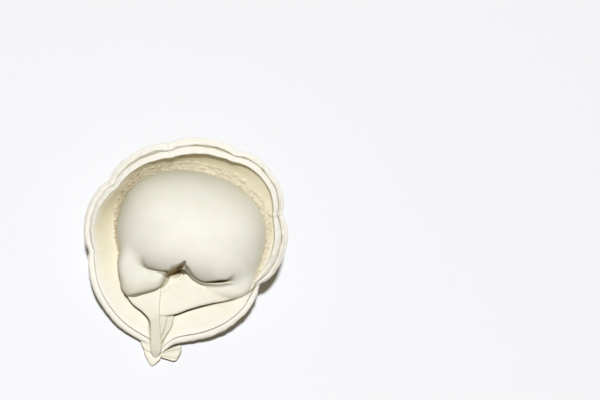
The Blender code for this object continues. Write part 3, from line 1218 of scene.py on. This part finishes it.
def shade(finish, colour, steepness):
    # painted shade: duller on steep dough, brownish where dough closes in, dark along the creases
    colour = finish.mix(finish.mask("steep") * steepness, colour, doughFinish["paintedShade"])
    # painted shade where dough closes in
    hidden = finish.mask("shelter").between(0.55, 1.0)
    colour = finish.mix(hidden * 0.7, colour, doughFinish["sheltered"])
    return finish.mix(finish.mask("crease").between(0.0, 1.0), colour, doughFinish["crease"])


def skinSettings(finish, scatter=doughFinish["scatter"]):
    finish.fill(finish.shader, {
        "Subsurface Weight": scatter,
        "Subsurface Radius": (1.0, 0.75, 0.45),
        "Subsurface Scale": 0.5 * mm,
        "Specular IOR Level": 0.3,
    })


def makeDoughFinish():
    finish = Finish("flouredDough")
    patches = finish.noise(3.5, 3).between(0.35, 0.7)
    grain = finish.noise(0.28, 3, 0.6)
    fine = finish.noise(0.12, 2, 0.6)
    flour = finish.mix(patches * 0.35, doughFinish["flour"], doughFinish["flourGrey"])
    cloud = finish.noise(2.2, 2).between(0.4, 0.75)
    bare = finish.mix(cloud * 0.4, doughFinish["bare"], doughFinish["bareDeep"])
    colour = finish.mix(finish.mask("bare"), flour, bare)
    colour = finish.mix(grain.between(0.45, 0.62) * 0.12, colour, doughFinish["speck"])
    # flecks of flour take a little less of the painted shade
    powder = finish.noise(0.2, 3, 0.7).between(0.44, 0.6)
    colour = shade(finish, colour, 1.0 - powder * 0.2)
    # painted shade in the deep pit at the eye
    colour = finish.mix(finish.mask("eye"), colour, doughFinish["eye"])
    finish.fill(finish.shader, {
        "Base Color": colour,
        "Roughness": 0.7 + fine * 0.2,
        "Normal": finish.bump(grain * 0.6 + fine * 0.4, 0.05, 0.5),
    })
    skinSettings(finish)
    return finish.material


def makeRimFinish():
    finish = Finish("bareDough")
    grain = finish.noise(0.35, 3, 0.6)
    fine = finish.noise(0.13, 2, 0.6)
    cloud = finish.noise(2.5, 2).between(0.4, 0.75)
    bare = finish.mix(cloud * 0.45, doughFinish["bare"], doughFinish["bareDeep"])
    edge = finish.mask("cutEdge")
    colour = finish.mix(edge * 0.8, bare, doughFinish["cutEdge"])
    # painted shade in the gap between the lips
    colour = finish.mix(finish.mask("seam") * 0.85, colour, doughFinish["seam"])
    # painted shade on the wall below the lips
    colour = finish.mix(finish.mask("wall") * 0.85, colour, doughFinish["wall"])
    crust = finish.mask("crust")
    dryness = finish.noise(0.25, 3, 0.7).between(0.35, 0.65)
    colour = finish.mix(crust * (dryness * 0.5 + 0.5), colour, doughFinish["crust"])
    # less painted shade on the cut edges
    colour = shade(finish, colour, 0.35 - edge * 0.25)
    finish.fill(finish.shader, {
        "Base Color": colour,
        "Roughness": 0.62 + grain * 0.2,
        "Normal": finish.bump(grain * 0.7 + fine * 0.3, 0.04, 0.5),
    })
    skinSettings(finish)
    return finish.material


def makeCrumbFinish():
    finish = Finish("dryCrumb")
    colour = finish.mix(finish.mask("tint"), doughFinish["crumbDark"], doughFinish["crumbPale"])
    finish.fill(finish.shader, {"Base Color": colour, "Roughness": 0.85})
    skinSettings(finish, doughFinish["crumbScatter"])
    return finish.material


# Making it, piece by piece

dough = makeDough()
print("dough folded:", len(dough.data.polygons), "faces")
tail = makeTail()
print("tail pinched:", len(tail.data.polygons), "faces")
rimPiece = makeRim()
# painted shadow on the dish along the edges of the dough over it
darken(rimPiece, "crease", list(shadowLines.values()), readPoints(rimPiece))
print("rim pressed:", len(rimPiece.data.polygons), "faces")
shaped = (dough, tail, rimPiece)
for piece in shaped:
    layDown(piece)
    pressFlat(piece)
doughTree, smoothRimTree = treeOf(dough), treeOf(rimPiece)
footAngles = np.arange(-180, 180, foot["every"])
footPlaces = np.array([footAt(doughTree, smoothRimTree, angle) for angle in footAngles])
makeCrust(rimPiece, footAngles, footPlaces)
print("crust laid")
findShelter(shaped)
for piece in shaped:
    findSteep(piece)
print("sheltered places found")
crumbPiece = makeCrumbs(doughTree, treeOf(rimPiece), footAngles, footPlaces)
print("crumbs scattered:", len(crumbPiece.data.polygons), "faces")

doughMaterial = makeDoughFinish()
for piece, material in (
    (dough, doughMaterial),
    (tail, doughMaterial),
    (rimPiece, makeRimFinish()),
    (crumbPiece, makeCrumbFinish()),
):
    piece.data.materials.clear()
    piece.data.materials.append(material)
    piece.data.shade_smooth()
    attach(piece, "root")
    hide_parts("pelmen")
print("finishes mixed")


# Table, light and camera

studio = {
    "table": {"size": 3.0, "colour": rgb(0.72, 0.72, 0.72), "roughness": 0.6},
    "turn": 12.6,                # degrees that the view is turned about the eye of the curl
    "over": (0.833, 2.833),      # mm right of the eye and above it, where the camera hangs
    "aim": (20.0, 11.167),       # mm right of the eye and above it, where it looks
    "distance": 277.8,
    "lens": 100.0,
    "sensor": 36.0,
    # the sun leans from straight out of the dish to the view's top, and then to its left
    "sun": {"strength": 3.5, "softness": 5.0, "lean": (18.0, -1.5), "colour": (0.97, 1.0, 1.065)},
    "sky": {"strength": 0.15, "colour": rgb(1.0, 0.76, 0.44)},
}


def seenAt(right, above):
    # the point of the rim's plane that shows this far right of the eye and above it
    turn = math.radians(studio["turn"])
    x = right * math.cos(turn) - above * math.sin(turn)
    y = right * math.sin(turn) + above * math.cos(turn)
    return tablePoint(x, y)


def makeTable():
    bpy.ops.object.select_all(action="DESELECT")
    bpy.ops.mesh.primitive_plane_add(size=studio["table"]["size"])
    table = bpy.context.object
    table.name = "table"
    finish = Finish("whiteTable")
    look = {"Base Color": studio["table"]["colour"], "Roughness": studio["table"]["roughness"]}
    finish.fill(finish.shader, look)
    table.data.materials.append(finish.material)


def makeLight():
    sun = studio["sun"]
    bpy.ops.object.light_add(type="SUN", location=(0, 0, 1))
    light = bpy.context.object
    light.name = "softSun"
    out = outOfDish.normalized()
    above = viewUp.normalized()
    up, left = (math.tan(math.radians(lean)) for lean in sun["lean"])
    towards = out + above * up + out.cross(above) * left
    light.rotation_euler = towards.to_track_quat("Z", "Y").to_euler()
    light.data.energy = sun["strength"]
    light.data.angle = math.radians(sun["softness"])
    light.data.color = sun["colour"]
    world = bpy.data.worlds.new("sky")
    world.use_nodes = True
    sky = world.node_tree.nodes["Background"]
    sky.inputs["Color"].default_value = studio["sky"]["colour"]
    sky.inputs["Strength"].default_value = studio["sky"]["strength"]
    bpy.context.scene.world = world


def makeCamera():
    place = seenAt(*studio["over"]) + outOfDish.normalized() * studio["distance"] * mm
    aim = seenAt(*studio["aim"])
    back = (place - aim).normalized()
    right = viewUp.cross(back).normalized()
    bpy.ops.object.camera_add()
    camera = bpy.context.object
    camera.matrix_world = Matrix.Translation(place) @ Matrix(
        (right, back.cross(right), back)
    ).transposed().to_4x4()
    camera.data.lens = studio["lens"]
    camera.data.sensor_width = studio["sensor"]
    camera.data.clip_start = 0.01
    bpy.context.scene.camera = camera


viewUp = seenAt(0, 1) - seenAt(0, 0)
makeTable()
makeLight()
makeCamera()
bpy.context.scene.view_settings.view_transform = "Standard"
print("studio set")
